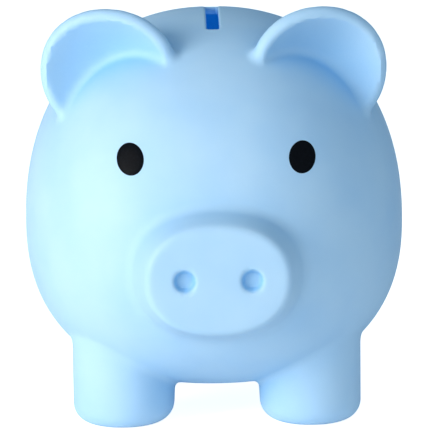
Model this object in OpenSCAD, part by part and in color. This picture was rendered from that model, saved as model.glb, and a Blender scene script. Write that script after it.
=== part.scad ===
// Piggy bank: a hollow vinyl pig that stands on four feet, with a coin slot in its back,
// a push-in stopper in its belly and two printed eyes.
// The pig looks along -Y, left and right are the pig's own, and the floor is z = 0.

/* [Body] */
// Width of the body
body_w = 149.2; // [120:0.2:180]
// Length of the body, without snout and tail
body_l = 168; // [135:1:205]
// Height of the widest level above the floor
waist_z = 75; // [68:0.5:90]
// Height of the back above the widest level
back_h = 82.6; // [68:0.2:96]
// Depth of the belly below the widest level
belly_h = 64.2; // [54:0.2:67]
// Thickness of the vinyl
wall = 3; // [2.4:0.1:4]

/* [Snout] */
// Width of the flat of the snout
snout_w = 56; // [40:1:68]
// Height of the flat of the snout
snout_h = 43; // [34:1:52]
// How far the snout stands out in front of the body
snout_reach = 13; // [9:0.5:18]
// How much wider the snout is all round where it meets the face
snout_flare = 5.5; // [2:0.5:7]
// Radius of the snout's soft front edge
snout_edge = 4; // [2:0.5:5]
// Drop of the snout's middle below the widest level
snout_drop = 7.5; // [2:0.5:12]
// Diameter of the nostrils at the surface
nostril_d = 9; // [7:0.5:11]
// Diameter of the nostrils at the bottom
nostril_floor_d = 6; // [4:0.5:6.5]
// Depth of the nostrils
nostril_depth = 3; // [2:0.5:4]
// Distance between the middles of the nostrils
nostril_pitch = 25.4; // [20:0.2:30]

/* [Ears] */
// Width of an ear
ear_w = 55; // [46:1:68]
// Height of an ear, with the half that is merged with the head
ear_h = 51; // [42:1:60]
// Thickness of an ear
ear_t = 7; // [5:0.5:9]
// Depth of the hollow in the front of an ear
ear_cup = 11.5; // [6:0.5:14]
// Distance of an ear's middle from the middle of the pig
ear_x = 40.2; // [36:0.2:48]
// Distance of an ear's middle in front of the middle of the pig
ear_front = 39; // [30:0.5:44]
// Height of an ear's middle above the widest level
ear_up = 63; // [54:0.5:72]
// Angle by which an ear faces outwards
ear_yaw = 15; // [5:1:30]
// Angle by which an ear leans forwards
ear_lean = 6; // [0:1:15]

/* [Legs] */
// Diameter of a leg where it meets the belly
leg_d = 40; // [34:0.5:46]
// Diameter of a foot, before its edge is rounded
foot_d = 39.2; // [32:0.5:42]
// Radius of the foot's edge
foot_edge = 7.5; // [4:0.5:9]
// Distance of a leg from the middle of the pig, sideways
leg_x = 36.7; // [32:0.1:40]
// Distance of a leg from the middle of the pig, along its length
leg_y = 34; // [30:0.5:42]

/* [Tail] */
// How far the tail stands out behind the body
tail_reach = 13; // [10:0.5:18]
// Radius of the tail's curl
tail_curl = 8.5; // [6.5:0.5:10]
// Thickness of the tail at its root
tail_d = 7.5; // [6:0.5:9]
// Thickness of the tail at its tip
tail_tip_d = 5; // [4:0.5:6]
// Height of the tail's curl above the widest level
tail_up = 6; // [0:1:20]

/* [Coin slot] */
// Width of the coin slot
slot_w = 5; // [4.6:0.1:6]
// Length of the coin slot
slot_l = 50; // [38:1:60]
// Distance of the slot's middle in front of the middle of the pig
slot_front = 4.5; // [0:0.5:8]
// Radius of the slot's corners
slot_corner = 0.8; // [0.4:0.1:1.5]

/* [Stopper] */
// Diameter of the hole in the belly
hole_d = 40; // [34:0.5:44]
// Clearance all round between the stopper's neck and the hole
neck_clearance = 0.05; // [0.02:0.01:0.1]
// Diameter of the stopper's flange
flange_d = 50; // [46:0.5:52]
// Thickness of the flange
flange_t = 2.4; // [1.6:0.1:3]
// Clearance all round between the flange and its recess
flange_clearance = 1; // [0.5:0.1:2]
// Depth of the recess that holds the flange, at the lowest point of the belly
seat_depth = 4; // [3.6:0.1:5]
// Height of the stopper's neck above its flange
neck_h = 7; // [5:0.5:9]
// Thickness of the stopper's walls
stopper_wall = 2.2; // [1.6:0.1:3]
// Width of the finger bar across the stopper
bar_w = 7; // [5:0.5:10]
// Thickness of the finger bar
bar_t = 2.6; // [2:0.1:3.5]

/* [Eyes] */
// Width of an eye
eye_w = 10.3; // [8:0.1:13]
// Height of an eye
eye_h = 11.8; // [9:0.1:15]
// Distance of an eye from the middle of the face
eye_x = 32.5; // [26:0.5:38]
// Height of an eye above the widest level
eye_up = 35; // [28:0.5:39]
// Angle by which the eyes lean towards each other at the top
eye_lean = 4; // [0:1:10]
// Thickness of the printed film
eye_film = 0.3; // [0.2:0.05:0.5]

/* [Hidden] */

skin_blue = "#a9dcfb";
ink_black = "#15181e";
stopper_blue = "#7fbfe6";

$fn = 64;
cut = 1;                 // how far a cutting shape runs past what it cuts
plan_power = 2.25;       // roundness of the body seen from above, where 2 is an ellipse
back_power = 2.2;        // roundness of the upper half seen from the front
belly_power = 2.35;      // roundness of the lower half seen from the front
snout_power = 2.25;      // roundness of the snout's outline
skin_sides = 44;
skin_rings = 11;         // rings in each half of the body
cavity_sides = 32;
cavity_rings = 8;
snout_sides = 36;
leg_sides = 28;
hollow_leg_sides = 20;
ear_sides = 32;
ear_power = 2.1;
tail_sides = 8;
tail_rings = 26;
tail_turn = 400;         // degrees that the tail turns
eye_sides = 32;

body_front = body_l / 2;
seat_z = waist_z - belly_h + seat_depth;
seat_d = flange_d + 2 * flange_clearance;
pad_d = seat_d + 2 * wall;
snout_z = waist_z - snout_drop;
snout_face_y = -body_front - snout_reach;
leg_shoulder = 19;       // height above the belly's lowest point at which a leg starts to narrow
leg_top = 42;            // height above that point of a leg's top, inside the body
leg_narrowing = 13;      // how much a leg's radius shrinks from its shoulder to its top
// Moves the pig along Y so that the origin lies under the middle of the whole object
centre_y = (snout_reach - tail_reach) / 2;

function signed_pow(v, p) = sign(v) * pow(abs(v), p);

// A point of the body's surface, or of the surface inset from it: lon runs round the pig,
// and lat from the belly (-90) over the widest level (0) to the back (90)
function body_point(lon, lat, inset) =
    let (power = lat < 0 ? belly_power : back_power,
         half_h = (lat < 0 ? belly_h : back_h) - inset,
         ring = pow(cos(lat), 2 / power))
    [(body_w / 2 - inset) * ring * signed_pow(cos(lon), 2 / plan_power),
     (body_l / 2 - inset) * ring * signed_pow(sin(lon), 2 / plan_power),
     waist_z + half_h * signed_pow(sin(lat), 2 / power)];

// The Y of the body's front surface at a given X and Z
function front_y(x, z) =
    let (power = z < waist_z ? belly_power : back_power,
         half_h = z < waist_z ? belly_h : back_h,
         across = pow(1 - pow(abs(z - waist_z) / half_h, power), plan_power / power))
    -body_l / 2 * pow(across - pow(2 * abs(x) / body_w, plan_power), 1 / plan_power);

// Every second ring of a loft is turned by half a step, so that no two triangles lie flat together
function half_step(k) = k % 2 / 2;

// A ring of an oval in the XZ plane at a given Y, with half sizes a and c
function oval_ring(sides, a, c, y, power, turn = 0) =
    [for (i = [0 : sides - 1]) let (t = 360 * (i + turn) / sides)
        [a * signed_pow(cos(t), 2 / power), y, c * signed_pow(sin(t), 2 / power)]];

// A closed solid through rings of equal length, with a point at each end.
// The rings run anticlockwise as seen from the end point.
module loft(start, rings, end) {
    n = len(rings[0]);
    last = len(rings) - 1;
    points = concat([start], [for (ring = rings) each ring], [end]);
    function at(k, i) = 1 + k * n + i % n;
    polyhedron(points, concat(
        [for (i = [0 : n - 1]) [0, at(0, i), at(0, i + 1)]],
        [for (k = [0 : last - 1], i = [0 : n - 1]) [at(k, i), at(k + 1, i), at(k + k % 2, i + 1)]],
        [for (k = [0 : last - 1], i = [0 : n - 1]) [at(k, i + 1), at(k + 1 - k % 2, i), at(k + 1, i + 1)]],
        [for (i = [0 : n - 1]) [len(points) - 1, at(last, i + 1), at(last, i)]]));
}

module both_sides() {
    children();
    mirror([1, 0, 0]) children();
}

module body_form(inset, sides, rings) {
    loft([0, 0, waist_z - belly_h + inset],
        [for (k = [1 : 2 * rings - 1]) let (lat = 90 * (k / rings - 1))
            [for (i = [0 : sides - 1]) body_point(360 * (i + half_step(k - 1)) / sides, lat, inset)]],
        [0, 0, waist_z + back_h - inset]);
}

// The snout's side widens evenly towards the face, and its front edge is a quarter round
module snout_form(inset) {
    a = snout_w / 2 - inset;
    c = snout_h / 2 - inset;
    face = snout_face_y + (inset > 0 ? wall + nostril_depth : 0);
    root = -body_front + 16;
    edge_steps = 4;
    side_length = root - snout_face_y - snout_edge;
    // two thirds of the way from the front edge to the root, the side meets the face
    side = [for (share = [0 : 0.25 : 0.75]) [root - side_length * share, 1.5 * snout_flare * (1 - share)]];
    edge = [for (k = [0 : edge_steps]) let (t = 90 * k / edge_steps)
        [face + snout_edge * (1 - sin(t)), snout_edge * (cos(t) - 1)]];
    steps = inset > 0 ? [side[0], [face, 0]] : concat(side, edge);
    translate([0, 0, snout_z])
        loft([0, root, 0],
            [for (k = [0 : len(steps) - 1]) let (s = steps[k])
                oval_ring(snout_sides, a + s[1], c + s[1], s[0], snout_power, half_step(k))],
            [0, face, 0]);
}

module nostril() {
    slope = (nostril_d - nostril_floor_d) / 2 / nostril_depth;
    translate([nostril_pitch / 2, snout_face_y + nostril_depth, snout_z])
        rotate([90, 0, 0])
            cylinder(d1 = nostril_floor_d, d2 = nostril_d + 2 * slope * cut, h = nostril_depth + cut);
}

// A cupped oval plate with a round rim. Its lower half merges with the head.
module ear() {
    rim = ear_t / 2;
    a = ear_w / 2 - rim;
    c = ear_h / 2 - rim;
    rim_steps = 5;
    shares = [0.3, 0.55, 0.78, 0.93];
    function cupped(share, y) = [a * share, c * share, y + ear_cup * (1 - share * share)];
    // half width, half height and y of each ring, from the back over the rim into the cup
    steps = concat(
        [for (share = shares) cupped(share, rim)],
        [for (k = [0 : rim_steps]) let (t = 90 - 180 * k / rim_steps)
            [a + rim * cos(t), c + rim * cos(t), rim * sin(t)]],
        [for (k = [len(shares) - 1 : -1 : 0]) cupped(shares[k], -rim)]);
    translate([ear_x, -ear_front, waist_z + ear_up])
        rotate([ear_lean, 0, ear_yaw])
            loft([0, ear_cup + rim, 0],
                [for (k = [0 : len(steps) - 1]) let (s = steps[k])
                    oval_ring(ear_sides, s[0], s[1], s[2], ear_power, half_step(k))],
                [0, ear_cup - rim, 0]);
}

// A leg stands on a round flat with a quarter-round edge. inset gives the hollow inside it.
module leg(inset) {
    foot = foot_d / 2 - inset;
    edge = foot_edge - inset;
    edge_steps = inset > 0 ? 2 : 4;
    sides = inset > 0 ? hollow_leg_sides : leg_sides;
    thigh = leg_d / 2 - inset;
    belly_z = waist_z - belly_h - inset;
    profile = concat(
        [for (k = [0 : edge_steps]) let (t = 90 * k / edge_steps)
            [foot - edge + edge * sin(t), inset + edge * (1 - cos(t))]],
        [[thigh, belly_z + leg_shoulder], [thigh - leg_narrowing, belly_z + leg_top]]);
    loft([0, 0, inset],
        [for (k = [0 : len(profile) - 1]) let (p = profile[k])
            [for (i = [0 : sides - 1]) let (t = 360 * (i + half_step(k)) / sides)
                [p[0] * cos(t), p[0] * sin(t), p[1]]]],
        [0, 0, belly_z + leg_top]);
}

module legs(inset) {
    both_sides() for (along = [-1, 1]) translate([leg_x, along * leg_y, 0]) leg(inset);
}

// The tail winds once round a curl that runs back from the body
function tail_point(t) =
    let (turn = 90 + tail_turn * t, radius = tail_curl * min(1, 0.25 + 3 * t))
    [radius * cos(turn),
     body_front - 4 + (tail_reach + 4 - tail_tip_d / 2) * t,
     waist_z + tail_up + radius * sin(turn)];

module tail() {
    function unit(v) = v / norm(v);
    function ring(t, turn) =
        let (middle = tail_point(t),
             along = unit(tail_point(t + 0.01) - tail_point(t - 0.01)),
             side = unit(cross([0, 1, 0], along)),
             up = cross(along, side),
             radius = (tail_d + (tail_tip_d - tail_d) * t) / 2)
        [for (i = [0 : tail_sides - 1]) let (a = 360 * (i + turn) / tail_sides)
            middle + radius * (cos(a) * side + sin(a) * up)];
    function tip(t) = tail_point(t) + 0.6 * tail_tip_d * unit(tail_point(t) - tail_point(t - 0.01));
    loft(tail_point(0), [for (k = [0 : tail_rings]) ring(k / tail_rings, half_step(k))], tip(1));
}

module coin_slot() {
    half_w = slot_w / 2 - slot_corner;
    half_l = slot_l / 2 - slot_corner;
    translate([0, -slot_front, waist_z + back_h / 2])
        linear_extrude(back_h) {
            square([slot_w, 2 * half_l], center = true);
            square([2 * half_w, slot_l], center = true);
            for (x = [-half_w, half_w], y = [-half_l, half_l]) translate([x, y]) circle(r = slot_corner);
        }
}

// The hollow for the coins, with a thicker flat pad left round the stopper's hole
module cavity() {
    difference() {
        union() {
            body_form(wall, cavity_sides, cavity_rings);
            snout_form(wall);
            legs(wall);
        }
        cylinder(d = pad_d, h = seat_z + wall);
    }
}

// The moulding before its lower opening is cut. The resize leaves the size as it is, and makes
// all of this one mesh, so that the round cuts in body_skin stay true.
module moulding() {
    resize([body_w, 0, 0])
        difference() {
            union() {
                body_form(0, skin_sides, skin_rings);
                snout_form(0);
                both_sides() ear();
                legs(0);
                tail();
            }
            cavity();
            both_sides() nostril();
            coin_slot();
        }
}

module body_skin() {
    color(skin_blue)
        translate([0, centre_y, 0])
            difference() {
                moulding();
                cylinder(d = hole_d, h = seat_z + wall + cut);
                cylinder(d = seat_d, h = seat_z);
            }
}

// A hollow plug with a flange below, and a bar across its mouth to pull it out by
module stopper() {
    neck_d = hole_d - 2 * neck_clearance;
    cup_d = neck_d - 2 * stopper_wall;
    lead_in = 1;
    mouth_z = seat_z - flange_t;
    color(stopper_blue)
        translate([0, centre_y, 0])
            difference() {
                union() {
                    translate([0, 0, mouth_z]) cylinder(d = flange_d, h = flange_t);
                    translate([0, 0, seat_z]) cylinder(d = neck_d, h = neck_h - lead_in);
                    translate([0, 0, seat_z + neck_h - lead_in])
                        cylinder(d1 = neck_d, d2 = neck_d - 2 * lead_in, h = lead_in);
                }
                difference() {
                    translate([0, 0, mouth_z - cut])
                        cylinder(d = cup_d, h = flange_t + neck_h - stopper_wall + cut);
                    translate([-bar_w / 2, -hole_d / 2, mouth_z]) cube([bar_w, hole_d, bar_t]);
                }
            }
}

// A printed oval: rings on the skin out to its edge, then back over the film's front
module eye() {
    shares = [0.5, 1];
    function on_skin(share, proud) =
        [for (p = oval_ring(eye_sides, eye_w / 2 * share, eye_h / 2 * share, 0, 2))
            let (x = eye_x + p[0] * cos(eye_lean) - p[2] * sin(eye_lean),
                 z = waist_z + eye_up + p[2] * cos(eye_lean) + p[0] * sin(eye_lean))
            [x, front_y(x, z) - proud, z]];
    middle_z = waist_z + eye_up;
    translate([0, centre_y, 0])
        loft([eye_x, front_y(eye_x, middle_z), middle_z],
            concat([for (share = shares) on_skin(share, 0)],
                   [for (share = [1, 0.5]) on_skin(share, eye_film)]),
            [eye_x, front_y(eye_x, middle_z) - eye_film, middle_z]);
}

module left_eye() {
    color(ink_black) eye();
}

module right_eye() {
    color(ink_black) mirror([1, 0, 0]) eye();
}

body_skin();
stopper();
left_eye();
right_eye();
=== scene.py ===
import math
import bmesh
import bpy
import numpy as np
from mathutils import Matrix, Vector


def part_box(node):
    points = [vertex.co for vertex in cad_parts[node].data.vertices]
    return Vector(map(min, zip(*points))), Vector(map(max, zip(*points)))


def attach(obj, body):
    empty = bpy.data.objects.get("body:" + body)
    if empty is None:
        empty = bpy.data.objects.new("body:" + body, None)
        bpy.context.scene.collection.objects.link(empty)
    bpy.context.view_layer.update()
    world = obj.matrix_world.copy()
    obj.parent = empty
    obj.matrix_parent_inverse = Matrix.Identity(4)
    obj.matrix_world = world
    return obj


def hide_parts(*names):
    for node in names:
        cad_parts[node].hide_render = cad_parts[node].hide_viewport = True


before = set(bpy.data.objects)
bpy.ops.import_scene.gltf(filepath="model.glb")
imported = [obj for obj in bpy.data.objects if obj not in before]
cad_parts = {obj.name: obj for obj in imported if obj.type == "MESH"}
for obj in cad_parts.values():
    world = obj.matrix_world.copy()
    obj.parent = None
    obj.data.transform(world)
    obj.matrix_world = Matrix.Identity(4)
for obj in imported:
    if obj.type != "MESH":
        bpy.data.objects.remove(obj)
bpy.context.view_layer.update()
mm = 0.001
skinLow, skinHigh = [[v / mm for v in corner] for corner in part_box("body_skin")]
stopperLow, stopperHigh = [[v / mm for v in corner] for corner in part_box("stopper")]
print("frame loaded, skin from", skinLow, "to", skinHigh)

# The shapes are worked out in millimetres. The pig looks along -Y, stands on z = 0,
# and left and right are its own.


def smoothUnion(a, b, reach):
    h = np.maximum(reach - np.abs(a - b), 0) / reach
    return np.minimum(a, b) - h * h * reach / 4


def smoothCut(a, b, reach):   # takes b out of a
    return -smoothUnion(-a, b, reach)


def ovalDistance(u, v, halfU, halfV, power):   # also gives the share of the way out to the edge
    a, b = np.abs(u) / halfU, np.abs(v) / halfV
    share = np.maximum((a ** power + b ** power) ** (1 / power), 1e-6)
    slope = np.hypot((a / share) ** (power - 1) / halfU, (b / share) ** (power - 1) / halfV)
    return (share - 1) / slope, share


body = {
    "halfWidth": (skinHigh[0] - skinLow[0]) / 2,
    "halfLength": 84.0,
    "waistZ": 75.0,            # height of the widest level
    "backHeight": 82.6,        # from the waist up
    "bellyDepth": 64.2,        # from the waist down
    "planPower": 2.25,         # roundness from above, where 2 is an ellipse
    "backPower": 2.2,
    "bellyPower": 2.35,
    "wall": 3.0,
}


def bodyField(x, y, z, inset=0.0):   # an egg of two powers, measured nearly as a true distance
    upper = z > body["waistZ"]
    power = np.where(upper, body["backPower"], body["bellyPower"])
    halfZ = np.where(upper, body["backHeight"], body["bellyDepth"]) - inset
    halfX, halfY = body["halfWidth"] - inset, body["halfLength"] - inset
    m = body["planPower"]
    a, b, c = np.abs(x) / halfX, np.abs(y) / halfY, np.abs(z - body["waistZ"]) / halfZ
    plan = np.maximum((a ** m + b ** m) ** (1 / m), 1e-6)
    share = (plan ** power + c ** power) ** (1 / power)
    across = (plan / share) ** (power - 1)
    slopeX = across * (a / plan) ** (m - 1) / halfX
    slopeY = across * (b / plan) ** (m - 1) / halfY
    slopeZ = (c / share) ** (power - 1) / halfZ
    return (share - 1) / np.sqrt(slopeX ** 2 + slopeY ** 2 + slopeZ ** 2)


snout = {
    "halfWidth": 28.0,
    "halfHeight": 21.5,
    "faceY": skinLow[1],
    "rootY": -55.0,            # where it ends, inside the body
    "middleZ": body["waistZ"] - 7.5,
    "power": 2.25,
    "edge": 3.0,               # radius of the soft front edge
    "crown": 0.7,              # how much the flat domes towards its middle
    "splay": 0.30,             # widening per millimetre towards the face
    "splayLength": 25.0,
    "blend": 3.0,              # softness of the join with the face
}
nostril = {"side": 12.7, "mouth": 4.5, "floor": 3.0, "depth": 3.0, "blend": 0.7, "floorBlend": 0.5}


def snoutField(x, y, z, inset=0.0):
    faceY = snout["faceY"] + (inset + nostril["depth"] if inset else 0)
    widen = snout["splay"] * np.clip(y - faceY - snout["edge"], 0, snout["splayLength"]) - inset
    side, share = ovalDistance(x, z - snout["middleZ"], snout["halfWidth"] - snout["edge"],
                               snout["halfHeight"] - snout["edge"], snout["power"])
    side = side - widen
    front = faceY + snout["crown"] * np.minimum(share, 1.3) ** 2 - y + snout["edge"]
    outside = np.hypot(np.maximum(side, 0), np.maximum(front, 0))
    solid = outside + np.minimum(np.maximum(side, front), 0) - snout["edge"]
    return np.maximum(solid, y - snout["rootY"])


def nostrilField(x, y, z):
    depth = y - snout["faceY"]
    slope = (nostril["mouth"] - nostril["floor"]) / nostril["depth"]
    side = np.hypot(np.abs(x) - nostril["side"], z - snout["middleZ"]) - nostril["mouth"] + slope * depth
    return -smoothUnion(-side, nostril["depth"] - depth, nostril["floorBlend"])


ear = {
    "halfWidth": 27.5, "halfHeight": 25.5, "power": 2.1,
    "x": 40.2, "front": 39.0, "up": 62.95,
    "yaw": 15.0, "lean": 6.0,
    "rim": 3.5,                # radius of the round rim
    "thicken": 1.2,            # extra half thickness in the middle
    "cup": 11.5,
    "blend": 3.0,
}


def earField(x, y, z):   # a cupped plate with a round rim, on both sides at once
    yaw, lean = math.radians(ear["yaw"]), math.radians(ear["lean"])
    dx, dy, dz = np.abs(x) - ear["x"], y + ear["front"], z - body["waistZ"] - ear["up"]
    u = dx * math.cos(yaw) + dy * math.sin(yaw)
    back = -dx * math.sin(yaw) + dy * math.cos(yaw)
    t = back * math.cos(lean) + dz * math.sin(lean)
    w = dz * math.cos(lean) - back * math.sin(lean)
    rim = ear["rim"]
    out, share = ovalDistance(u, w, ear["halfWidth"] - rim, ear["halfHeight"] - rim, ear["power"])
    inner = np.clip(1 - share ** 2, 0, 1)
    middle = ear["cup"] * inner
    return np.hypot(np.maximum(out, 0), t - middle) - rim - ear["thicken"] * inner


leg = {
    "x": 36.7, "y": 34.0,
    "footRadius": 19.6, "thighRadius": 20.6,
    "edge": 7.5,
    "splayTop": -1.0,          # the top of a leg sits this far inwards of its foot
    "height": 40.0,
    "blend": 2.6,
}


def legField(x, y, z, inset=0.0):
    rise = np.clip(z / leg["height"], 0, 1.2)
    dx, dy = np.abs(x) - leg["x"] - leg["splayTop"] * rise, np.abs(y) - leg["y"]
    radius = leg["footRadius"] + (leg["thighRadius"] - leg["footRadius"]) * rise - inset
    side = np.hypot(dx, dy) - radius + leg["edge"]
    down = leg["edge"] + inset - z
    up = z - leg["height"] + leg["edge"]
    ends = np.maximum(down, up)
    outside = np.hypot(np.maximum(side, 0), np.maximum(ends, 0))
    return outside + np.minimum(np.maximum(side, ends), 0) - leg["edge"]


tail = {
    "reach": skinHigh[1], "curl": 8.5, "rootRadius": 3.75, "tipRadius": 2.5,
    "up": 6.0, "turn": 400.0, "steps": 48, "blend": 5.0,
    "room": 24.0, "behind": 64.0,   # the curl lies this far round its middle, and past this place along Y
    "sunk": 4.0,                    # how far its root starts inside the body
}


def tailPoint(share):
    angle = math.radians(90 + tail["turn"] * share)
    radius = tail["curl"] * min(1, 0.25 + 3 * share)
    root = body["halfLength"] - tail["sunk"]
    return (radius * math.cos(angle), root + (tail["reach"] - tail["tipRadius"] - root) * share,
            body["waistZ"] + tail["up"] + radius * math.sin(angle))


def tailField(x, y, z):   # distance to the curl's line, less its tapering radius
    best = np.full(np.shape(x), 1e3)
    middleZ = body["waistZ"] + tail["up"]
    near = (np.abs(x) < tail["room"]) & (y > tail["behind"]) & (np.abs(z - middleZ) < tail["room"])
    px, py, pz = x[near], y[near], z[near]
    found = np.full(px.shape, 1e3)
    for k in range(tail["steps"]):
        a = np.array(tailPoint(k / tail["steps"]))
        b = np.array(tailPoint((k + 1) / tail["steps"]))
        along = b - a
        t = ((px - a[0]) * along[0] + (py - a[1]) * along[1] + (pz - a[2]) * along[2]) / along.dot(along)
        t = np.clip(t, 0, 1)
        gap = np.sqrt((px - a[0] - t * along[0]) ** 2 + (py - a[1] - t * along[1]) ** 2
                      + (pz - a[2] - t * along[2]) ** 2)
        share = (k + t) / tail["steps"]
        radius = tail["rootRadius"] + (tail["tipRadius"] - tail["rootRadius"]) * share
        found = np.minimum(found, gap - radius)
    best[near] = found
    return best


slot = {
    "width": 5.0, "length": 50.0, "front": 4.5, "corner": 0.8,
    "lip": 0.9, "pocket": 2.0,
    "above": 120.0,             # the pocket stays above this level
    "cutLow": 140.0, "cutHigh": 170.0, "cutInset": 0.02,
    "paintedGlowAbove": 100.0,          # the painted glow, which stands in for daylight through the skin, is kept above this level
    "paintedGlowDepthLimit": 10.0,
}


def slotSide(x, y, inset=0.0):   # distance to the slot's outline, seen from above
    corner = slot["corner"]
    u = np.abs(x) - slot["width"] / 2 + inset + corner
    v = np.abs(y + slot["front"]) - slot["length"] / 2 + inset + corner
    return np.hypot(np.maximum(u, 0), np.maximum(v, 0)) + np.minimum(np.maximum(u, v), 0) - corner


seat = {
    "z": 14.8, "radius": 26.0, "holeRadius": 20.0, "padRadius": 29.0,
    "cutLow": 10.0, "cutHigh": 24.0, "steps": 128,
    "blend": 1.6,
}


def outerField(x, y, z):   # the outside of the skin, with the mouth of the slot as a shallow pocket
    f = smoothUnion(bodyField(x, y, z), snoutField(x, y, z), snout["blend"])
    f = smoothUnion(f, legField(x, y, z), leg["blend"])
    f = smoothUnion(f, earField(x, y, z), ear["blend"])
    f = smoothUnion(f, tailField(x, y, z), tail["blend"])
    f = smoothCut(f, nostrilField(x, y, z), nostril["blend"])
    pocket = np.maximum(slotSide(x, y), np.maximum(-slot["pocket"] - f, slot["above"] - z))
    f = smoothCut(f, pocket, slot["lip"])
    recess = np.maximum(np.hypot(x, y) - seat["radius"], z - seat["z"])
    return smoothCut(f, recess, seat["blend"])


hollowJoin = {"blend": 6.0, "padBlend": 2.5}


def innerField(x, y, z):   # the hollow, with a thick pad left round the stopper's hole
    f = bodyField(x, y, z, body["wall"])
    f = smoothUnion(f, snoutField(x, y, z, body["wall"]), hollowJoin["blend"])
    f = smoothUnion(f, legField(x, y, z, body["wall"]), hollowJoin["blend"])
    pad = np.maximum(np.hypot(x, y) - seat["padRadius"], z - seat["z"] - body["wall"])
    return smoothCut(f, pad, hollowJoin["padBlend"])


def slopeOf(field, points, step=0.02):
    columns = []
    for axis in range(3):
        shift = np.zeros(3)
        shift[axis] = step
        columns.append((field(*(points + shift).T) - field(*(points - shift).T)) / (2 * step))
    return np.stack(columns, axis=1)


def settle(field, points, rounds=3):   # moves points onto the surface
    for _ in range(rounds):
        slope = slopeOf(field, points)
        size = np.maximum((slope ** 2).sum(axis=1), 0.05)
        points = points - slope * (np.clip(field(*points.T), -1, 1) / size)[:, None]
    return points


def gridLine(low, high, step, bands):   # grid positions along one axis, closer together in the bands
    spots = [low]
    while spots[-1] < high:
        close = [fine for start, end, fine in bands if start - fine <= spots[-1] < end]
        spots.append(spots[-1] + min([step] + close))
    return np.array(spots)


def surfaceNet(field, axes):   # one point in each cell that the surface crosses, joined by quads
    grid = field(*np.meshgrid(*axes, indexing="ij"))
    inside = grid < 0
    shape = np.array(grid.shape) - 1
    total = np.zeros(shape, int)
    for corner in np.ndindex(2, 2, 2):
        total += inside[tuple(slice(c, c + n) for c, n in zip(corner, shape))]
    crossed = (total > 0) & (total < 8)
    number = np.full(shape, -1)
    number[crossed] = np.arange(crossed.sum())
    cells = np.argwhere(crossed)
    place, count = np.zeros((len(cells), 3)), np.zeros(len(cells))
    for axis in range(3):
        others = [i for i in range(3) if i != axis]
        for corner in np.ndindex(2, 2):
            start = cells.copy()
            start[:, others] += corner
            end = start.copy()
            end[:, axis] += 1
            a, b = grid[tuple(start.T)], grid[tuple(end.T)]
            hit = (a < 0) != (b < 0)
            share = (a / np.where(a == b, 1, a - b))[hit]
            spot = np.stack([axes[i][start[hit, i]] for i in range(3)], axis=1)
            spot[:, axis] += share * (axes[axis][end[hit, axis]] - spot[:, axis])
            place[hit] += spot
            count[hit] += 1
    points = place / count[:, None]
    quads = []
    for axis in range(3):
        u, v = (axis + 1) % 3, (axis + 2) % 3
        ends = [slice(None)] * 3
        ends[axis] = slice(1, None)
        begins = [slice(None)] * 3
        begins[axis] = slice(0, -1)
        change = inside[tuple(begins)].astype(int) - inside[tuple(ends)]
        spots = np.argwhere(change)
        su, sv = spots[:, u], spots[:, v]
        spots = spots[(su > 0) & (sv > 0) & (su < shape[u]) & (sv < shape[v])]
        leaving = change[tuple(spots.T)] > 0
        ring = []
        for du, dv in ((-1, -1), (0, -1), (0, 0), (-1, 0)):
            cell = spots.copy()
            cell[:, u] += du
            cell[:, v] += dv
            ring.append(number[tuple(cell.T)])
        faces = np.stack(ring, axis=1)
        quads.append(np.where(leaving[:, None], faces, faces[:, ::-1]))
    return points, np.concatenate(quads)


def evenOut(field, points, quads, rounds, held=None):   # slides points along the surface to even the quads
    pairs = np.concatenate([quads[:, [i, (i + 1) % 4]] for i in range(4)])
    pairs = np.concatenate([pairs, pairs[:, ::-1]])
    count = np.bincount(pairs[:, 0], minlength=len(points))[:, None]
    share = np.full((len(points), 1), 0.5)
    if held is not None:
        share[held(points)] = 0
    for _ in range(rounds):
        total = np.stack([np.bincount(pairs[:, 0], points[pairs[:, 1], i], len(points))
                          for i in range(3)], axis=1)
        points = settle(field, points + share * (total / count - points), 1)
    return settle(field, points, 2)


def meshFrom(name, points, faces):
    mesh = bpy.data.meshes.new(name)
    mesh.from_pydata((np.asarray(points) * mm).tolist(), [], np.asarray(faces).tolist())
    mesh.update()
    return mesh


def addObject(name, mesh):
    piece = bpy.data.objects.new(name, mesh)
    bpy.context.scene.collection.objects.link(piece)
    return piece


def combine(target, tool, operation):   # a boolean of two closed meshes, with the tool thrown away
    cut = target.modifiers.new("cut", "BOOLEAN")
    cut.operation, cut.solver, cut.object = operation, "MANIFOLD", tool
    bpy.context.view_layer.update()
    result = bpy.data.meshes.new_from_object(target.evaluated_get(bpy.context.evaluated_depsgraph_get()))
    target.modifiers.remove(cut)
    old = target.data
    target.data = result
    bpy.data.meshes.remove(old)
    bpy.data.objects.remove(tool)


def finishMesh(piece, name, material, sharpAngle):   # one material, smooth but for its sharp edges
    mesh = piece.data
    mesh.name = name
    mesh.materials.clear()
    mesh.materials.append(material)
    mesh.polygons.foreach_set("material_index", [0] * len(mesh.polygons))
    mesh.shade_smooth()
    mesh.set_sharp_from_angle(angle=math.radians(sharpAngle))
    mesh.update()


def prism(name, outline, low, high):   # an upright closed prism over an outline
    n = len(outline)
    points = [(x, y, z) for z in (low, high) for x, y in outline]
    faces = [[i, (i + 1) % n, n + (i + 1) % n, n + i] for i in range(n)]
    faces += [list(range(n))[::-1], list(range(n, 2 * n))]
    mesh = bpy.data.meshes.new(name)
    mesh.from_pydata([[v * mm for v in p] for p in points], [], faces)
    return addObject(name, mesh)


def slotOutline(inset, steps=8):
    corner = slot["corner"]
    halfX, halfY = slot["width"] / 2 - inset - corner, slot["length"] / 2 - inset - corner
    outline = []
    for k, (sx, sy) in enumerate(((1, 1), (-1, 1), (-1, -1), (1, -1))):
        for i in range(steps + 1):
            angle = math.radians(90 * (k + i / steps))
            outline.append((sx * halfX + corner * math.cos(angle),
                            sy * halfY - slot["front"] + corner * math.sin(angle)))
    return outline


def circle(radius, steps):
    return [(radius * math.cos(2 * math.pi * k / steps), radius * math.sin(2 * math.pi * k / steps))
            for k in range(steps)]


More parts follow.
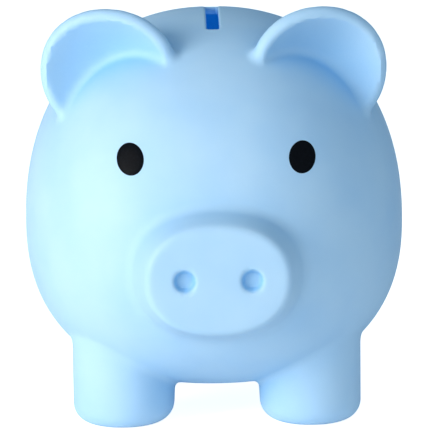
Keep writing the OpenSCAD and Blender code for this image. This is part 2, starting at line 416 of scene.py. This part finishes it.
def turned(name, profile, steps):   # a closed solid turned about Z from a profile between two axis points
    points = [(0, 0, profile[0][1])]
    for r, z in profile[1:-1]:
        points += [(x, y, z) for x, y in circle(r, steps)]
    points.append((0, 0, profile[-1][1]))
    rings, last = len(profile) - 2, len(points) - 1
    faces = []
    for i in range(steps):
        j = (i + 1) % steps
        faces.append([0, 1 + i, 1 + j])
        for k in range(rings - 1):
            a, b = 1 + k * steps, 1 + (k + 1) * steps
            faces.append([a + i, b + i, b + j, a + j])
        faces.append([last, last - steps + j, last - steps + i])
    mesh = bpy.data.meshes.new(name)
    mesh.from_pydata([[v * mm for v in p] for p in points], [], faces)
    return addObject(name, mesh)


def rounded(cornerR, cornerZ, radius, start, end, steps=5):   # part of a profile, round a corner's middle
    angles = [math.radians(start + (end - start) * k / steps) for k in range(steps + 1)]
    return [(cornerR + radius * math.cos(a), cornerZ + radius * math.sin(a)) for a in angles]


def linear(hexText):   # an sRGB hex colour as linear values
    out = []
    for k in (1, 3, 5):
        c = int(hexText[k:k + 2], 16) / 255
        out.append(c / 12.92 if c <= 0.04045 else ((c + 0.055) / 1.055) ** 2.4)
    return (*out, 1.0)


def addNode(tree, kind, inputs=None, **settings):   # inputs are given by name or number
    node = tree.nodes.new(kind)
    for key, value in settings.items():
        setattr(node, key, value)
    for key, value in (inputs or {}).items():
        if isinstance(value, bpy.types.NodeSocket):
            tree.links.new(value, node.inputs[key])
        else:
            node.inputs[key].default_value = value
    return node


def newMaterial(name):
    material = bpy.data.materials.new(name)
    material.use_nodes = True
    tree = material.node_tree
    tree.nodes.clear()
    shader = addNode(tree, "ShaderNodeBsdfPrincipled")
    output = addNode(tree, "ShaderNodeOutputMaterial", {"Surface": shader.outputs[0]})
    output.is_active_output = True
    return material, tree, shader


def setSockets(shader, values):
    for name, value in values.items():
        shader.inputs[name].default_value = value


def objectPlace(tree):   # object coordinates, in metres
    return addNode(tree, "ShaderNodeTexCoord").outputs["Object"]


def noise(tree, place, size, detail=2.0, roughness=0.5):   # size is that of one blotch, in metres
    return addNode(tree, "ShaderNodeTexNoise", {"Vector": place, "Scale": 1 / size, "Detail": detail,
                                               "Roughness": roughness}).outputs[0]


def ramp(tree, value, low, high, start=0.0, end=1.0):   # value from start..end spread over low..high
    return addNode(tree, "ShaderNodeMapRange", {"Value": value, "From Min": start, "From Max": end,
                                                "To Min": low, "To Max": high}).outputs[0]


def mixColour(tree, share, a, b):
    node = addNode(tree, "ShaderNodeMix", data_type="RGBA")
    for key, value in ((0, share), (6, a), (7, b)):
        if isinstance(value, bpy.types.NodeSocket):
            tree.links.new(value, node.inputs[key])
        else:
            node.inputs[key].default_value = value
    return node.outputs[2]


def bump(tree, height, distance, strength=1.0, below=None):
    node = addNode(tree, "ShaderNodeBump", {"Height": height, "Distance": distance, "Strength": strength})
    if below is not None:
        tree.links.new(below, node.inputs["Normal"])
    return node.outputs[0]


vinylLook = {
    "base": "#bcdffa", "deep": "#a9d4f7", "pale": "#c0e2fb", "scuff": "#93b9cf",
    "baseShare": 0.55,                    # how much of the even colour lies over the clouds
    "through": "#035ca6", "throughStrength": 0.42,   # painted glow: emission that stands in for daylight coming through the thin skin
    "throughDepth": (0.8, 2.4),           # millimetres below the outside where that painted glow sets in
    "crease": "#56aee6", "creaseShare": 0.78,   # painted shade: a deeper blue painted into cups and creases, for the colour light picks up bouncing there
    "creaseReach": 0.026, "creaseOpen": (0.35, 0.95), "creaseSamples": 6,
    "cloud": 0.034, "grain": 0.00055, "ripple": 0.011, "speck": 0.0011,
    "rippleDepth": 0.00005, "speckDepth": 0.00002, "grainDepth": 0.000006,
    "scuffSize": 0.0028, "scuffTop": 0.0016, "scuffShare": 0.5,
    "roughSize": 0.019, "roughLow": 0.46, "roughHigh": 0.58,
    "sockets": {
        "IOR": 1.52, "Specular IOR Level": 0.32, "Subsurface Weight": 0.12,
        "Subsurface Radius": (0.6, 0.9, 1.0), "Subsurface Scale": 0.002,
    },
}


def makeVinyl():
    # Rotocast PVC plastisol: gives the eye an even pastel blue, a soft low sheen, a hint of depth,
    # the faint orange peel and ripple of the mould, and feet that have been stood on; also painted shade,
    # a deeper blue in cups and creases, and a painted glow on the inside of the skin under the slot.
    look = vinylLook
    material, tree, shader = newMaterial("rotocastVinyl")
    place = objectPlace(tree)
    # painted glow: emission on the skin's inside near the slot, rising with depth below the outside
    glowMaskDepth = addNode(tree, "ShaderNodeAttribute", attribute_name="glowMaskDepth").outputs["Fac"]
    shader.inputs["Emission Color"].default_value = linear(look["through"])
    daylight = ramp(tree, glowMaskDepth, 0, look["throughStrength"], *look["throughDepth"])
    tree.links.new(daylight, shader.inputs["Emission Strength"])
    cloud = noise(tree, place, look["cloud"], 3)
    colour = mixColour(tree, ramp(tree, cloud, 0, 1, 0.35, 0.65), linear(look["deep"]), linear(look["pale"]))
    colour = mixColour(tree, look["baseShare"], colour, linear(look["base"]))
    # painted shade: the colour is pushed to a deeper blue where the skin closes in on itself
    openness = addNode(tree, "ShaderNodeAmbientOcclusion", {"Distance": look["creaseReach"]},
                       samples=look["creaseSamples"], only_local=True).outputs["AO"]
    paintedCreaseShadeAmount = ramp(tree, openness, look["creaseShare"], 0, *look["creaseOpen"])
    colour = mixColour(tree, paintedCreaseShadeAmount, colour, linear(look["crease"]))
    height = addNode(tree, "ShaderNodeSeparateXYZ", {"Vector": place}).outputs[2]
    nearFloor = ramp(tree, height, 1, 0, 0.0, look["scuffTop"])
    scuffs = ramp(tree, noise(tree, place, look["scuffSize"], 4, 0.65), 0, 1, 0.48, 0.68)
    worn = addNode(tree, "ShaderNodeMath", {0: nearFloor, 1: scuffs}, operation="MULTIPLY").outputs[0]
    worn = addNode(tree, "ShaderNodeMath", {0: worn, 1: look["scuffShare"]}, operation="MULTIPLY").outputs[0]
    tree.links.new(mixColour(tree, worn, colour, linear(look["scuff"])), shader.inputs["Base Color"])
    patches = noise(tree, place, look["roughSize"], 2)
    rough = ramp(tree, patches, look["roughLow"], look["roughHigh"], 0.3, 0.7)
    tree.links.new(rough, shader.inputs["Roughness"])
    ripple = bump(tree, noise(tree, place, look["ripple"], 1), look["rippleDepth"], 0.5)
    peel = bump(tree, noise(tree, place, look["speck"], 2), look["speckDepth"], 0.35, ripple)
    grain = bump(tree, noise(tree, place, look["grain"], 1), look["grainDepth"], 0.35, peel)
    tree.links.new(grain, shader.inputs["Normal"])
    setSockets(shader, look["sockets"])
    return material


plasticLook = {
    "base": "#8ccbf0", "flow": "#82c2ea", "flowScale": 4.0, "flowOut": 60.0, "flowDepth": 0.00003,
    "grain": 0.0005, "grainDepth": 0.00001,
    "roughLow": 0.33, "roughHigh": 0.46,
    "sockets": {
        "IOR": 1.51, "Subsurface Weight": 0.2, "Subsurface Radius": (0.6, 0.9, 1.0),
        "Subsurface Scale": 0.0015,
    },
}


def makeStopperPlastic():
    # Injection-moulded low-density polyethylene: gives the eye a waxy, slightly deeper blue,
    # with flow marks that run out from the middle and a fine satin grain.
    look = plasticLook
    material, tree, shader = newMaterial("mouldedPolyethylene")
    place = objectPlace(tree)
    x, y = addNode(tree, "ShaderNodeSeparateXYZ", {"Vector": place}).outputs[:2]
    angle = addNode(tree, "ShaderNodeMath", {0: y, 1: x}, operation="ARCTAN2").outputs[0]
    out = addNode(tree, "ShaderNodeVectorMath", {0: place, 1: (1, 1, 0)}, operation="MULTIPLY").outputs[0]
    out = addNode(tree, "ShaderNodeVectorMath", {0: out}, operation="LENGTH").outputs["Value"]
    out = addNode(tree, "ShaderNodeMath", {0: out, 1: look["flowOut"]}, operation="MULTIPLY").outputs[0]
    flowPlace = addNode(tree, "ShaderNodeCombineXYZ", {0: angle, 1: out, 2: 0.0}).outputs[0]
    flow = addNode(tree, "ShaderNodeTexNoise", {"Vector": flowPlace, "Scale": look["flowScale"],
                                               "Detail": 3.0}).outputs[0]
    colour = mixColour(tree, ramp(tree, flow, 0, 1, 0.35, 0.65), linear(look["base"]), linear(look["flow"]))
    tree.links.new(colour, shader.inputs["Base Color"])
    rough = ramp(tree, flow, look["roughLow"], look["roughHigh"], 0.3, 0.7)
    tree.links.new(rough, shader.inputs["Roughness"])
    fine = bump(tree, noise(tree, place, look["grain"], 2), look["grainDepth"], 0.4)
    tree.links.new(bump(tree, flow, look["flowDepth"], 0.3, fine), shader.inputs["Normal"])
    setSockets(shader, look["sockets"])
    return material


inkLook = {
    "base": "#0c0e12", "thin": "#101318", "spots": 0.0009,
    "roughSize": 0.0025, "roughLow": 0.34, "roughHigh": 0.42,
    "grain": 0.0007, "grainDepth": 0.000004,
    "sockets": {"IOR": 1.5, "Specular IOR Level": 0.03},
}


def makeInk():
    # Pad-printed ink: gives the eye a solid black oval with a soft shine,
    # slightly thinner in small spots, over the vinyl's own grain.
    look = inkLook
    material, tree, shader = newMaterial("padPrintedInk")
    place = objectPlace(tree)
    spots = ramp(tree, noise(tree, place, look["spots"], 3), 0, 1, 0.45, 0.75)
    colour = mixColour(tree, spots, linear(look["base"]), linear(look["thin"]))
    tree.links.new(colour, shader.inputs["Base Color"])
    patches = noise(tree, place, look["roughSize"], 2)
    rough = ramp(tree, patches, look["roughLow"], look["roughHigh"], 0.3, 0.7)
    tree.links.new(rough, shader.inputs["Roughness"])
    grain = bump(tree, noise(tree, place, look["grain"], 2), look["grainDepth"], 0.25)
    tree.links.new(grain, shader.inputs["Normal"])
    setSockets(shader, look["sockets"])
    return material


vinyl, stopperPlastic, eyeInk = makeVinyl(), makeStopperPlastic(), makeInk()
print("materials made")

grid = {
    "step": 1.62, "hollowStep": 2.6, "quick": 1.6,
    "pad": 1.7,                 # room left round the skin
    "x": [(-4.2, 4.2, 0.3), (6.5, 19.0, 0.8), (-19.0, -6.5, 0.8)],
    "y": [(-97.5, -90.0, 0.9), (-31.2, -28.0, 0.35), (19.0, 22.2, 0.35), (82.0, 97.5, 1.1)],
    "z": [(12.0, 16.5, 0.8), (57.0, 78.0, 1.3), (134.0, 164.0, 1.35)],
    "rounds": 3, "hollowRounds": 2,
    "heldX": 4.4, "heldPast": 2.0, "heldAbove": 140.0,   # the slot's lips stay on their close grid
    "sharp": 38.0,
}


def skinAxes(coarse):   # grid positions along X, Y and Z, mirrored along X
    axes = []
    for i, letter in enumerate("xyz"):
        bands = [(a, b, fine * coarse) for a, b, fine in grid[letter]]
        low = 0 if letter == "x" else skinLow[i] - grid["pad"]
        line = gridLine(low, skinHigh[i] + grid["pad"], grid["step"] * coarse, bands)
        axes.append(np.concatenate([-line[:0:-1], line]) if letter == "x" else line)
    return axes


def slotLips(points):
    x, y, z = points.T
    past = slot["length"] / 2 + grid["heldPast"]
    return (np.abs(x) < grid["heldX"]) & (np.abs(y + slot["front"]) < past) & (z > grid["heldAbove"])


def makeSkin():
    coarse = 1.0
    points, quads = surfaceNet(outerField, skinAxes(coarse))
    points = evenOut(outerField, points, quads, grid["rounds"], slotLips)
    print("outside of the skin:", len(quads), "quads")
    skin = addObject("bodySkin", meshFrom("bodySkin", points, quads))
    step, pad = grid["hollowStep"] * coarse, grid["pad"]
    axes = [np.arange(skinLow[i] - pad, skinHigh[i] + pad + step, step) for i in range(3)]
    points, quads = surfaceNet(innerField, axes)
    points = evenOut(innerField, points, quads, grid["hollowRounds"])
    hollow = addObject("hollow", meshFrom("hollow", points, quads))
    print("hollow:", len(quads), "quads")
    combine(skin, hollow, "DIFFERENCE")
    slotCut = prism("slotCut", slotOutline(slot["cutInset"]), slot["cutLow"], slot["cutHigh"])
    combine(skin, slotCut, "DIFFERENCE")
    hole = circle(seat["holeRadius"], seat["steps"])
    combine(skin, prism("holeCut", hole, seat["cutLow"], seat["cutHigh"]), "DIFFERENCE")
    finishMesh(skin, "bodySkin", vinyl, grid["sharp"])
    places = np.empty(len(skin.data.vertices) * 3)
    skin.data.vertices.foreach_get("co", places)
    x, y, z = places.reshape(-1, 3).T / mm
    # depth below the outside, which sets where the painted glow is laid on the skin's inside
    depth = np.where(z > slot["paintedGlowAbove"], np.clip(-bodyField(x, y, z), 0, slot["paintedGlowDepthLimit"]), 0)
    glowMaskDepth = skin.data.attributes.new("glowMaskDepth", "FLOAT", "POINT")
    glowMaskDepth.data.foreach_set("value", depth.astype(np.float32))
    return skin


skin = makeSkin()
print("skin made:", len(skin.data.polygons), "faces")

eye = {
    "width": 10.3, "height": 11.8, "x": 32.5, "up": 35.0, "lean": 4.0,
    "film": 0.28, "under": 0.12, "edge": 6.0,
    "rings": 12, "sides": 64, "sharp": 60.0,
    "before": 0.15, "ray": 0.2,   # metres in front of the pig's middle, and length of the ray to its skin
    "weld": 1e-6,
}


def eyeTree():   # lays a flat unit disc on the skin as a thin closed film
    tree = bpy.data.node_groups.new("printedFilm", "GeometryNodeTree")
    face = tree.interface
    face.new_socket("Geometry", in_out="INPUT", socket_type="NodeSocketGeometry")
    face.new_socket("Geometry", in_out="OUTPUT", socket_type="NodeSocketGeometry")
    face.new_socket("Skin", in_out="INPUT", socket_type="NodeSocketObject")
    face.new_socket("Ink", in_out="INPUT", socket_type="NodeSocketMaterial")
    for name in ("Width", "Height", "Side", "Level", "Lean", "Film", "Under", "Edge"):
        face.new_socket(name, in_out="INPUT", socket_type="NodeSocketFloat")
    given = addNode(tree, "NodeGroupInput").outputs

    def maths(operation, a, b=0.0):
        return addNode(tree, "ShaderNodeMath", {0: a, 1: b}, operation=operation).outputs[0]

    position = addNode(tree, "GeometryNodeInputPosition").outputs[0]
    spot = addNode(tree, "ShaderNodeSeparateXYZ", {0: position})
    u = maths("MULTIPLY", maths("MULTIPLY", spot.outputs[0], given["Width"]), 0.5)
    w = maths("MULTIPLY", maths("MULTIPLY", spot.outputs[2], given["Height"]), 0.5)
    cos, sin = maths("COSINE", given["Lean"]), maths("SINE", given["Lean"])
    across = maths("SUBTRACT", maths("MULTIPLY", u, cos), maths("MULTIPLY", w, sin))
    upward = maths("ADD", maths("MULTIPLY", w, cos), maths("MULTIPLY", u, sin))
    start = addNode(tree, "ShaderNodeCombineXYZ", {0: maths("ADD", across, given["Side"]), 1: -eye["before"],
                                                   2: maths("ADD", upward, given["Level"])}).outputs[0]
    target = addNode(tree, "GeometryNodeObjectInfo", {0: given["Skin"]}).outputs["Geometry"]
    ray = addNode(tree, "GeometryNodeRaycast", {"Target Geometry": target, "Source Position": start,
                                                "Ray Direction": (0, 1, 0), "Ray Length": eye["ray"]})
    share = addNode(tree, "ShaderNodeVectorMath", {0: position}, operation="LENGTH").outputs["Value"]
    rise = maths("SUBTRACT", 1.0, maths("POWER", maths("MINIMUM", share, 1.0), given["Edge"]))

    def layer(reach, flip):
        scaled = {0: ray.outputs["Hit Normal"], "Scale": maths("MULTIPLY", rise, reach)}
        lift = addNode(tree, "ShaderNodeVectorMath", scaled, operation="SCALE").outputs[0]
        place = addNode(tree, "ShaderNodeVectorMath", {0: ray.outputs["Hit Position"], 1: lift}).outputs[0]
        moved = {"Geometry": given["Geometry"], "Position": place}
        sheet = addNode(tree, "GeometryNodeSetPosition", moved).outputs[0]
        return addNode(tree, "GeometryNodeFlipFaces", {0: sheet}).outputs[0] if flip else sheet

    front = layer(given["Film"], False)
    back = layer(maths("MULTIPLY", given["Under"], -1.0), True)
    both = addNode(tree, "GeometryNodeJoinGeometry")
    tree.links.new(back, both.inputs[0])
    tree.links.new(front, both.inputs[0])
    welded = {"Geometry": both.outputs[0], "Distance": eye["weld"]}
    whole = addNode(tree, "GeometryNodeMergeByDistance", welded).outputs[0]
    whole = addNode(tree, "GeometryNodeSetShadeSmooth", {"Geometry": whole}).outputs[0]
    whole = addNode(tree, "GeometryNodeRealizeInstances", {0: whole}).outputs[0]
    inked = {"Geometry": whole, "Material": given["Ink"]}
    whole = addNode(tree, "GeometryNodeSetMaterial", inked).outputs[0]
    addNode(tree, "NodeGroupOutput", {0: whole})
    return tree


def applyNodes(piece, tree, values):   # runs a node group and keeps the result as a plain mesh
    modifier = piece.modifiers.new("nodes", "NODES")
    modifier.node_group = tree
    sockets = {item.name: item.identifier for item in tree.interface.items_tree if item.in_out == "INPUT"}
    for name, value in values.items():
        modifier[sockets[name]] = value
    bpy.context.view_layer.update()
    result = bpy.data.meshes.new_from_object(piece.evaluated_get(bpy.context.evaluated_depsgraph_get()))
    piece.modifiers.remove(modifier)
    piece.data = result


def unitDisc(name, rings, sides):   # faces look along -Y
    points, faces = [(0, 0, 0)], []
    for k in range(1, rings + 1):
        radius = math.sin(math.pi / 2 * k / rings)
        points += [(radius * u, 0, radius * v) for u, v in circle(1, sides)]
    for i in range(sides):
        j = (i + 1) % sides
        faces.append([0, 1 + i, 1 + j])
        for k in range(rings - 1):
            a, b = 1 + k * sides, 1 + (k + 1) * sides
            faces.append([a + i, b + i, b + j, a + j])
    mesh = bpy.data.meshes.new(name)
    mesh.from_pydata(points, [], faces)
    return addObject(name, mesh)


def makeEye(name, side):
    piece = unitDisc(name, eye["rings"], eye["sides"])
    applyNodes(piece, filmTree, {
        "Skin": skin, "Ink": eyeInk,
        "Width": eye["width"] * mm, "Height": eye["height"] * mm,
        "Side": side * eye["x"] * mm, "Level": (body["waistZ"] + eye["up"]) * mm,
        "Lean": math.radians(side * eye["lean"]),
        "Film": eye["film"] * mm, "Under": eye["under"] * mm, "Edge": eye["edge"],
    })
    finishMesh(piece, name, eyeInk, eye["sharp"])
    return piece


filmTree = eyeTree()
leftEye, rightEye = makeEye("leftEye", 1), makeEye("rightEye", -1)
print("eyes made:", len(leftEye.data.polygons), "faces each")

plug = {
    "mouthZ": stopperLow[2], "topZ": stopperHigh[2],
    "flangeRadius": stopperHigh[0], "flangeTop": 14.8,
    "neckRadius": 19.95, "wall": 2.2, "leadIn": 1.0,
    "topRound": 0.5, "topIn": 0.8, "leadRound": 0.6, "leadDrop": 0.4,
    "footRound": 0.3, "flangeRound": 0.9, "mouthRound": 0.6, "roofRound": 1.2, "mouthDepth": 2.0,
    "steps": 128, "bevelSteps": 4, "sharp": 35.0,
    "barWidth": 7.0, "barThickness": 2.6, "barRound": 0.9,
    "sink": 0.6,                # how far the bar and the ribs run into the cup's wall and roof
    "ribs": 12, "ribThickness": 1.2, "ribReach": 4.6, "ribDrop": 3.6, "ribRound": 0.3,
}


def ribTree():   # small ribs in a ring, under the roof of the plug's cup
    tree = bpy.data.node_groups.new("ribRing", "GeometryNodeTree")
    face = tree.interface
    face.new_socket("Geometry", in_out="INPUT", socket_type="NodeSocketGeometry")
    face.new_socket("Geometry", in_out="OUTPUT", socket_type="NodeSocketGeometry")
    face.new_socket("Plastic", in_out="INPUT", socket_type="NodeSocketMaterial")
    face.new_socket("Count", in_out="INPUT", socket_type="NodeSocketInt")
    for name in ("Radius", "Level"):
        face.new_socket(name, in_out="INPUT", socket_type="NodeSocketFloat")
    given = addNode(tree, "NodeGroupInput").outputs
    size = {"Vertices": given["Count"], "Radius": given["Radius"]}
    ring = addNode(tree, "GeometryNodeMeshCircle", size).outputs[0]
    lift = addNode(tree, "ShaderNodeCombineXYZ", {0: 0.0, 1: 0.0, 2: given["Level"]}).outputs[0]
    ring = addNode(tree, "GeometryNodeSetPosition", {"Geometry": ring, "Offset": lift}).outputs[0]
    position = addNode(tree, "GeometryNodeInputPosition").outputs[0]
    out = addNode(tree, "ShaderNodeVectorMath", {0: position, 1: (1, 1, 0)}, operation="MULTIPLY").outputs[0]
    turn = addNode(tree, "FunctionNodeAlignRotationToVector", {"Vector": out}, axis="X").outputs[0]
    copies = {"Points": ring, "Instance": given["Geometry"], "Rotation": turn}
    ribs = addNode(tree, "GeometryNodeInstanceOnPoints", copies).outputs[0]
    whole = addNode(tree, "GeometryNodeRealizeInstances", {0: ribs}).outputs[0]
    coloured = {"Geometry": whole, "Material": given["Plastic"]}
    whole = addNode(tree, "GeometryNodeSetMaterial", coloured).outputs[0]
    addNode(tree, "NodeGroupOutput", {0: whole})
    return tree


def roundedBox(name, size, radius):   # a box with bevelled edges about the origin
    mesh = bpy.data.meshes.new(name)
    work = bmesh.new()
    bmesh.ops.create_cube(work, size=1)
    bmesh.ops.scale(work, vec=[v * mm for v in size], verts=work.verts)
    bmesh.ops.bevel(work, geom=work.edges[:], offset=radius * mm, segments=plug["bevelSteps"], profile=0.5,
                    affect="EDGES")
    work.to_mesh(mesh)
    work.free()
    return addObject(name, mesh)


def plugProfile():   # half of the plug's section, from the top's middle outwards and round to the roof's
    low, top, flange, neck = plug["mouthZ"], plug["topZ"], plug["flangeRadius"], plug["neckRadius"]
    cup, roof, tip = neck - plug["wall"], top - plug["wall"], neck - plug["leadIn"]
    topRound, leadRound, footRound = plug["topRound"], plug["leadRound"], plug["footRound"]
    edge, mouthRound, roofRound = plug["flangeRound"], plug["mouthRound"], plug["roofRound"]
    profile = [(0, top), (tip - plug["topIn"], top)]
    profile += rounded(tip - topRound, top - topRound, topRound, 80, 45, 3)
    profile += rounded(neck - leadRound, top - plug["leadIn"] - plug["leadDrop"], leadRound, 40, 0, 3)
    profile.append((neck, plug["flangeTop"] + footRound))
    profile += rounded(neck + footRound, plug["flangeTop"] + footRound, footRound, 180, 270, 3)
    profile += rounded(flange - edge, plug["flangeTop"] - edge, edge, 90, 0)
    profile += rounded(flange - edge, low + edge, edge, 0, -90)
    profile += rounded(cup + mouthRound, low + mouthRound, mouthRound, -90, -180)
    profile += [(cup, low + plug["mouthDepth"]), (cup, roof - roofRound)]
    profile += rounded(cup - roofRound, roof - roofRound, roofRound, 0, 90)
    profile.append((0, roof))
    return profile


def makeStopper():
    low = plug["mouthZ"]
    wallIn = plug["neckRadius"] - plug["wall"] + plug["sink"]
    roofIn = plug["topZ"] - plug["wall"] + plug["sink"]
    piece = turned("stopperPlug", plugProfile(), plug["steps"])
    bar = roundedBox("bar", (plug["barWidth"], 2 * wallIn, plug["barThickness"]), plug["barRound"])
    bar.data.transform(Matrix.Translation((0, 0, (low + plug["barThickness"] / 2) * mm)))
    combine(piece, bar, "UNION")
    rib = roundedBox("rib", (plug["ribReach"], plug["ribThickness"], plug["ribDrop"]), plug["ribRound"])
    applyNodes(rib, ribTree(), {
        "Plastic": stopperPlastic, "Count": plug["ribs"],
        "Radius": (wallIn - plug["ribReach"] / 2) * mm,
        "Level": (roofIn - plug["ribDrop"] / 2) * mm,
    })
    combine(piece, rib, "UNION")
    finishMesh(piece, "stopperPlug", stopperPlastic, plug["sharp"])
    return piece


stopper = makeStopper()
print("stopper made:", len(stopper.data.polygons), "faces")

for piece, node, carrier, slotName in (
        (skin, "body_skin", "pig", "vinyl"), (leftEye, "left_eye", "pig", "eye_ink"),
        (rightEye, "right_eye", "pig", "eye_ink"), (stopper, "stopper", "stopper", "stopper_plastic")):
    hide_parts(node)
    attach(piece, carrier)

floorLook = {
    "base": "#f4f6f8", "size": 4.0,
    "glow": 0.85, "bounce": 0.1,   # its own light as the camera sees it, and as the pig does
    "sockets": {"Roughness": 0.9, "Specular IOR Level": 0.1, "Emission Color": (1, 1, 1, 1)},
}


def makeFloor():
    # A plain pale studio floor: reads as near white, and keeps the soft shadow of the pig.
    mesh = bpy.data.meshes.new("floor")
    half = floorLook["size"] / 2
    corners = [(-half, -half, 0), (half, -half, 0), (half, half, 0), (-half, half, 0)]
    mesh.from_pydata(corners, [], [(0, 1, 2, 3)])
    floor = addObject("floor", mesh)
    material, tree, shader = newMaterial("paintedFloor")
    shader.inputs["Base Color"].default_value = linear(floorLook["base"])
    setSockets(shader, floorLook["sockets"])
    seen = addNode(tree, "ShaderNodeLightPath").outputs["Is Camera Ray"]
    glow = ramp(tree, seen, floorLook["bounce"], floorLook["glow"])
    tree.links.new(glow, shader.inputs["Emission Strength"])
    under = addNode(tree, "ShaderNodeNewGeometry").outputs["Backfacing"]   # seen from below, it isn't there
    clear = addNode(tree, "ShaderNodeBsdfTransparent")
    both = addNode(tree, "ShaderNodeMixShader", {0: under, 1: shader.outputs[0], 2: clear.outputs[0]})
    tree.links.new(both.outputs[0], tree.get_output_node("CYCLES").inputs["Surface"])
    mesh.materials.append(material)


light = {
    "key": {"azimuth": -56.0, "height": 15.0, "distance": 1.5, "size": 0.9, "power": 16.6,
            "colour": "#fffaf4"},
    "fill": {"azimuth": 60.0, "height": 20.0, "distance": 1.8, "size": 1.2, "power": 1.5,
             "colour": "#e6f1ff"},
    "front": {"azimuth": -8.0, "height": 2.0, "distance": 1.8, "size": 1.2, "power": 7.6,
              "colour": "#fffaf4"},
    "sky": 0.42, "skyColour": "#c6e8ff",
}


def around(azimuth, height, distance, middle):   # azimuth 0 is in front of the pig, and grows to its left
    a, e = math.radians(azimuth), math.radians(height)
    return middle + distance * Vector((math.sin(a) * math.cos(e), -math.cos(a) * math.cos(e), math.sin(e)))


def makeLights():
    middle = Vector((0, 0, body["waistZ"] * mm))
    for name in ("key", "fill", "front"):
        one = light[name]
        lamp = bpy.data.lights.new(name, "AREA")
        lamp.shape, lamp.size, lamp.energy = "DISK", one["size"], one["power"]
        lamp.color = linear(one["colour"])[:3]
        holder = bpy.data.objects.new(name, lamp)
        bpy.context.scene.collection.objects.link(holder)
        holder.location = around(one["azimuth"], one["height"], one["distance"], middle)
        holder.rotation_mode = "QUATERNION"
        holder.rotation_quaternion = (middle - holder.location).to_track_quat("-Z", "Y")
    world = bpy.data.worlds.new("studio")
    world.use_nodes = True
    tree = world.node_tree
    tree.nodes.clear()
    seen = addNode(tree, "ShaderNodeLightPath").outputs["Is Camera Ray"]
    daylight = {"Color": linear(light["skyColour"]), "Strength": light["sky"]}
    sky = addNode(tree, "ShaderNodeBackground", daylight)
    white = addNode(tree, "ShaderNodeBackground", {"Color": (1, 1, 1, 1), "Strength": 1.0})
    mix = addNode(tree, "ShaderNodeMixShader", {0: seen, 1: sky.outputs[0], 2: white.outputs[0]})
    addNode(tree, "ShaderNodeOutputWorld", {"Surface": mix.outputs[0]})
    bpy.context.scene.world = world


camera = {
    "lens": 312.0, "sensor": 36.0, "distance": 1.5, "elevation": 10.5, "yaw": 1.0, "roll": 0.6,
    "right": 1.47, "up": -1.0, "clip": (0.1, 20.0),
}


def makeCamera():
    data = bpy.data.cameras.new("camera")
    data.lens, data.sensor_width = camera["lens"], camera["sensor"]
    data.clip_start, data.clip_end = camera["clip"]
    data.dof.use_dof = False
    holder = bpy.data.objects.new("camera", data)
    bpy.context.scene.collection.objects.link(holder)
    a, e, r = (math.radians(camera[k]) for k in ("yaw", "elevation", "roll"))
    right = Vector((math.cos(a), -math.sin(a), 0))
    ahead = Vector((math.sin(a) * math.cos(e), math.cos(a) * math.cos(e), -math.sin(e)))
    up = right.cross(ahead)
    right, up = right * math.cos(r) - up * math.sin(r), right * math.sin(r) + up * math.cos(r)
    aim = Vector((0, 0, body["waistZ"] * mm)) + (right * camera["right"] + up * camera["up"]) * mm
    place = Matrix((right, up, -ahead)).transposed().to_4x4()
    place.translation = aim - ahead * camera["distance"]
    holder.matrix_world = place
    bpy.context.scene.camera = holder


makeFloor()
makeLights()
makeCamera()
bpy.context.scene.view_settings.view_transform = "Standard"
print("studio made")
